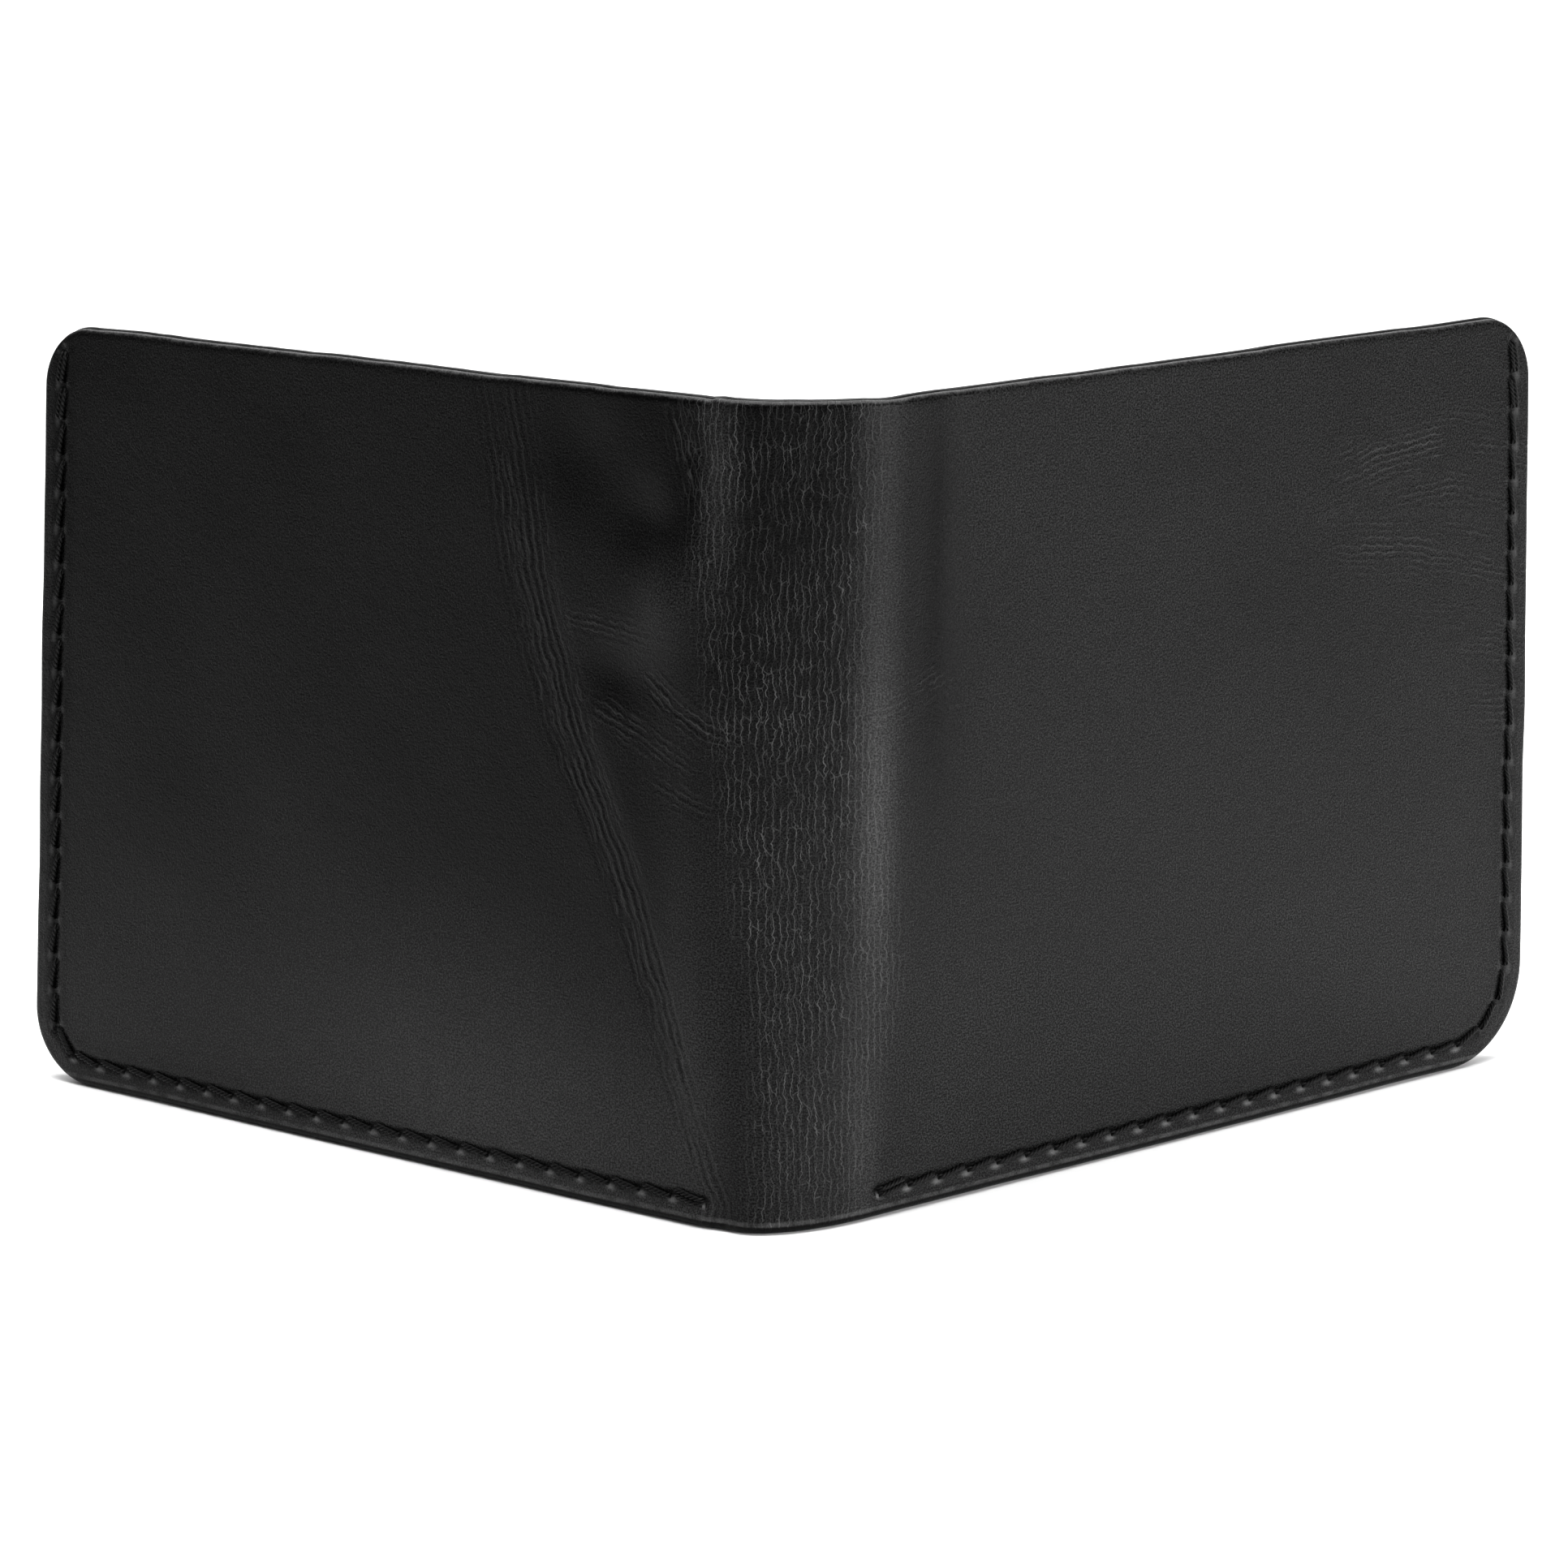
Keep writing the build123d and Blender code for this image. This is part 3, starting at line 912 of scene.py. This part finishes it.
def floor_material():
    n = Nodes("floor_white")
    patch = n.noise(n.add("ShaderNodeTexCoord", output="Object"), 6.0)
    n.set(Base_Color=n.mix(patch, grey(0.96), grey(0.98)))
    n.shader.inputs["Roughness"].default_value = 0.7
    return n.material


# ---------------------------------------------------------------- pieces

SHELL_LEATHER = shell_leather()
LINING = plain_leather("lining_leather_black", 0.0035, 0.007, 0.34)
POCKETS = plain_leather("pocket_leather_black", 0.0045, 0.009, 0.28)
THREAD = waxed_thread()

# Grid lines of the sheets, in u and z. They are fine at the seams, the spine and the creases.
SHELL_ROWS = graded((0, 0.2), (5.5, 0.22), (9, 0.5), (84, 0.6), (90, 0.35), (92, 0.3))
SHELL_COLUMNS = {
    "left": graded((-ARC, 0.2), (6, 0.22), (8, 0.34), (34, 0.36), (44, 0.7), (94, 0.7),
                   (98, 0.22), (104, 0.22)),
    "right": graded((-ARC, 0.2), (8, 0.22), (12, 0.5), (94, 0.62), (98, 0.22), (104, 0.22)),
}
PANEL_COLUMNS = graded((0, 0.5), (6, 0.7), (14, 1.4), (90, 1.4), (98, 0.7), (104, 0.5))
PANEL_ROWS = graded((0, 0.5), (8, 0.8), (14, 1.4), (44, 1.2), (52, 0.6), (74, 0.7), (92, 0.8))

# Card panel: its edges, the tops of its layers, and the T shape of the pockets
PANEL_INNER, PANEL_OUTER, PANEL_BOTTOM = 1, COVER - 0.3, 0.3
BACKING_TOP, UPPER_TOP, MIDDLE_TOP, FRONT_TOP = 90.6, 74, 63, 52
POCKET_HEIGHT = 50.5  # from a T-shaped pocket's top to the bottom of its tongue
BAND = 15  # height of its full-width top
TONGUE = (8.0, 97.0)  # u of the sides of its tongue

# Where the layers of the card panel start, where they lie loose on one another
BACKING_START = SHELL + GAP + DIVIDER + GAP
UPPER_INSIDE = BACKING_START + BACKING + POCKET
MIDDLE_INSIDE = UPPER_INSIDE + GAP + POCKET


def blend_at_fold(item):
    """Bakes the object's placement into its mesh."""
    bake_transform(item)


def near_perimeter(u, v):
    """1 at the perimeter seam and outside it, where every layer is pulled together."""
    inside = np.minimum(COVER - u, v)
    return (1 - smooth((inside - 4) / 2.8)) * smooth((u + 3) / 4)


def near_inner_seam(u, v):
    """1 at the upright seam beside the spine."""
    return (1 - smooth((u - 5) / 2.8)) * smooth((v - 5) / 4) * smooth((77 - v) / 4)


def divider_depth(u, v):
    return SHELL + GAP - 0.38 * near_perimeter(u, v)


def backing_depth(u, v):
    return BACKING_START - 0.77 * near_perimeter(u, v)


def pocket_depth(u, v, loose, band_below):
    """Start of a pocket: loose in the middle, and tight on the layers below it at the seams.

    band_below is where the full-width band of the pocket behind it begins, or 0.
    """
    tight = np.maximum(near_perimeter(u, v), near_inner_seam(u, v))
    under = POCKET * smooth((v - band_below) / 1.5) if band_below else 0
    return backing_depth(u, v) + BACKING + 0.01 + loose * (1 - tight) + under * tight


def upper_depth(u, v):
    return pocket_depth(u, v, 0.0, 0)


def middle_depth(u, v):
    return pocket_depth(u, v, 1.0, UPPER_TOP - BAND - 1.5)


def front_depth(u, v):
    return pocket_depth(u, v, 2.0, MIDDLE_TOP - BAND - 1.5)


def innermost(u, v):
    """Depth of the innermost leather, on which the inside stitches lie."""
    if v < FRONT_TOP:
        return float(front_depth(u, v)) + FRONT_POCKET
    if v < MIDDLE_TOP:
        return float(middle_depth(u, v)) + POCKET
    if v < UPPER_TOP:
        return float(upper_depth(u, v)) + POCKET
    return float(backing_depth(u, v)) + BACKING


def top_crease(top):
    """A line pressed along a pocket's top edge on the side that shows."""
    return lambda s, z: 0.16 * np.exp(-(((z - top + 2.2) / 0.35) ** 2))


def t_shape(top):
    """A T-shaped pocket: a full-width band, and a tongue that hangs behind the next pocket."""
    return lambda u, v: (v > top - BAND) | ((u > TONGUE[0]) & (u < TONGUE[1]))


def build_shell(side):
    def relief(s, z):
        return creased(s, z) + perimeter_trough(s, z, side)

    box = (-ARC, COVER, 0, FULL_TOP)
    item = sheet(f"shell_leather_{side}", side, box, 0.0, SHELL, SHELL_COLUMNS[side], SHELL_ROWS,
                 SHELL_LEATHER, CORNERS[side], relief=relief, cut=True)
    blend_at_fold(item)
    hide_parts(f"shell_{side}_cover", "shell_spine")


def build_divider(side):
    box = (-ARC, COVER - 0.1, 0.0, FULL_TOP)
    bottom_corner, top_corner = CORNERS[side]
    columns = np.concatenate([graded((-ARC, 0.6), (0, 0.6)), PANEL_COLUMNS[1:]])
    item = sheet(f"divider_leather_{side}", side, box, divider_depth, DIVIDER, columns, PANEL_ROWS,
                 LINING, (bottom_corner, top_corner - 1), cut=True)
    blend_at_fold(item)
    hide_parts(f"divider_{side}", "divider_spine")


def build_panel(side, part, bottom, top, depth, thickness, material, corners=(0, 0),
                keep=None, crease=None):
    """One flat layer of the card panel, with grid lines at its T shape and its pressed line."""
    columns = np.unique(np.concatenate([PANEL_COLUMNS, TONGUE]))
    below_top = np.array([BAND, 3.4, 2.8, 2.5, 2.2, 1.9, 1.6, 1])
    rows = np.unique(np.concatenate([PANEL_ROWS, top - below_top]))
    box = (PANEL_INNER, PANEL_OUTER, bottom, top)
    item = sheet(f"{side}_{part}_leather", side, box, depth, thickness, columns, rows,
                 material, corners, keep, back_relief=crease)
    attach(item, f"{side}_half")
    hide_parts(f"{side}_{part}")


def build_card_panel(side):
    bottom_corner, top_corner = CORNERS[side]
    build_panel(side, "card_backing", PANEL_BOTTOM, BACKING_TOP, backing_depth, BACKING,
                LINING, (bottom_corner, top_corner - 1))
    for part, top, depth in (("upper_pocket", UPPER_TOP, upper_depth),
                             ("middle_pocket", MIDDLE_TOP, middle_depth)):
        build_panel(side, part, top - POCKET_HEIGHT, top, depth, POCKET, POCKETS,
                    keep=t_shape(top), crease=top_crease(top))
    build_panel(side, "front_pocket", PANEL_BOTTOM, FRONT_TOP, front_depth, FRONT_POCKET,
                POCKETS, (bottom_corner, 0), crease=top_crease(FRONT_TOP))


def tongue_row(top):
    """Holes of the row that holds a tongue to the backing, near the tongue's bottom."""
    z = top - POCKET_HEIGHT + 1.8
    return straight_holes((TONGUE[0] + 3, z), (TONGUE[1] - 3, z))


def build_seams(side):
    holes = perimeter_holes(side)
    doubled = {0, 1, len(holes) - 2}
    item = threads(f"{side}_perimeter_thread", side,
                   [(holes, 0.0, 1, 0.2, doubled), (holes, innermost, -1, -0.1, doubled)], THREAD)
    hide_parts(f"{side}_perimeter_seam")
    upright = straight_holes((4.2, UPPER_TOP - 2), (4.2, 8))
    seams = [(upright, BACKING_START, 1, 0.1, {0}), (upright, innermost, -1, -0.1, {0})]
    for top, inside in ((UPPER_TOP, UPPER_INSIDE), (MIDDLE_TOP, MIDDLE_INSIDE)):
        row = tongue_row(top)
        seams += [(row, BACKING_START, 1, 0.1, {}), (row, inside, -1, -0.1, {})]
    item = threads(f"{side}_pocket_thread", side, seams, THREAD)
    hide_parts(f"{side}_inner_seam", f"{side}_upper_pocket_seam", f"{side}_middle_pocket_seam")


for side in SIDES:
    build_shell(side)
    build_divider(side)
    build_card_panel(side)
    build_seams(side)

# ---------------------------------------------------------------- camera, floor and light


CAMERA_YAW, CAMERA_PITCH, CAMERA_ROLL = map(math.radians, (0.815, 13.435, -0.322))
CAMERA_TARGET = Vector((-0.99, 0, 42.45)) * MM
CAMERA_DISTANCE = 0.5485


def add_camera():
    """A camera that looks slightly down at the wallet from in front of its spine."""
    level = math.cos(CAMERA_PITCH)
    forward = Vector((math.sin(CAMERA_YAW) * level, math.cos(CAMERA_YAW) * level,
                      -math.sin(CAMERA_PITCH)))
    across = Vector((math.cos(CAMERA_YAW), -math.sin(CAMERA_YAW), 0))
    above = across.cross(forward)
    right = across * math.cos(CAMERA_ROLL) + above * math.sin(CAMERA_ROLL)
    up = above * math.cos(CAMERA_ROLL) - across * math.sin(CAMERA_ROLL)
    data = bpy.data.cameras.new("camera")
    data.lens = 109.4
    data.sensor_width = 36
    data.clip_start, data.clip_end = 0.01, 100
    camera = bpy.data.objects.new("camera", data)
    turn = Matrix((right, up, -forward)).transposed().to_4x4()
    camera.matrix_world = Matrix.Translation(CAMERA_TARGET - forward * CAMERA_DISTANCE) @ turn
    bpy.context.scene.collection.objects.link(camera)
    bpy.context.scene.camera = camera


def add_floor():
    x0, x1, y0, y1 = -30.0, 30.0, -30.0, 60.0
    mesh = bpy.data.meshes.new("floor")
    mesh.from_pydata([(x0, y0, 0), (x1, y0, 0), (x1, y1, 0), (x0, y1, 0)], [], [(0, 1, 2, 3)])
    floor = bpy.data.objects.new("floor", mesh)
    mesh.materials.append(floor_material())
    bpy.context.scene.collection.objects.link(floor)


def add_lamp(name, kind, place, aim, power):
    data = bpy.data.lights.new(name, kind)
    data.energy = power
    lamp = bpy.data.objects.new(name, data)
    lamp.location = place
    lamp.rotation_euler = (Vector(aim) - Vector(place)).to_track_quat("-Z", "Y").to_euler()
    bpy.context.scene.collection.objects.link(lamp)
    return data


def add_light(name, place, aim, size, power):
    data = add_lamp(name, "AREA", place, aim, power)
    data.shape = "RECTANGLE"
    data.size, data.size_y = size


def add_spot(name, place, aim, cone, power):
    """A soft-edged pool of light on the floor."""
    data = add_lamp(name, "SPOT", place, aim, power)
    data.spot_size = math.radians(cone)
    data.spot_blend = 1.0
    data.shadow_soft_size = 0.03


def add_world(value, strength):
    """An even grey all round."""
    world = bpy.data.worlds.new("world")
    world.use_nodes = True
    world.node_tree.nodes["Background"].inputs["Color"].default_value = (value, value, value, 1)
    world.node_tree.nodes["Background"].inputs["Strength"].default_value = strength
    bpy.context.scene.world = world


def around(degrees, distance, height):
    """A place round the wallet. 0 is in front of it, and 90 is to its right."""
    a = math.radians(degrees)
    return (math.sin(a) * distance, -math.cos(a) * distance, height)


# Black leather mostly shows what it reflects, so the lights are placed for the bright floor that
# they make as much as for the leather itself.
add_camera()
add_floor()
add_world(1.0, 0.2)
add_light("ceiling", (0, 0.6, 1.5), (0, 0.6, 0), (2, 3), 26)
add_light("above", (0, 0.1, 0.6), (0, 0.1, 0), (0.5, 0.5), 7.5)
add_light("right_box", around(50, 1.0, 0.25), (0, 0, 0.05), (0.3, 0.35), 8.5)
add_light("front_box", around(30, 1.0, 0.25), (0, 0, 0.05), (0.3, 0.35), 0.8)
add_light("far", (0, 2.2, 1.0), (0, 2.2, 0), (2, 2), 30)
add_spot("right_patch", (0.16, -0.15, 0.6), (0.16, -0.15, 0), 20, 60)
bpy.context.scene.view_settings.view_transform = "Standard"
